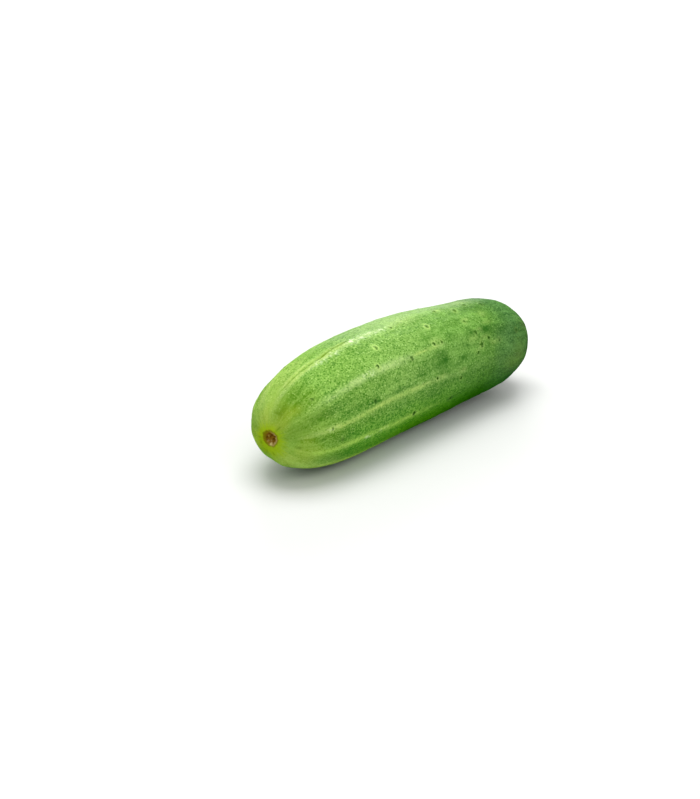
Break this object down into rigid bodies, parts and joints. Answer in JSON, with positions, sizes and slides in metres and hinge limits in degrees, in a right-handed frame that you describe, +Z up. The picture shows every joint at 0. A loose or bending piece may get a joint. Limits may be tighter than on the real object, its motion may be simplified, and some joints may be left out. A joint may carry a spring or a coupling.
{
  "type": "cucumber",
  "caption": "Short field cucumber lying on its side: gently bowed, with pale lengthwise stripes on blunt ribs, low warts, a brown blossom scar and a stem scar.",
  "frame": {"origin": "on the surface that the fruit lies on, under the middle of its bounding box", "axes": "+X along the fruit from the blossom end to the stem end, +Y towards the outside of its sideways bow, +Z up"},
  "size_m": [0.173, 0.0514, 0.05],
  "materials": {
    "skin": "waxy natural skin, satin, mottled green with pale yellow-green stripes"
  },
  "bodies": {
    "root": {"cucumber": "skin"}
  },
  "joints": []
}
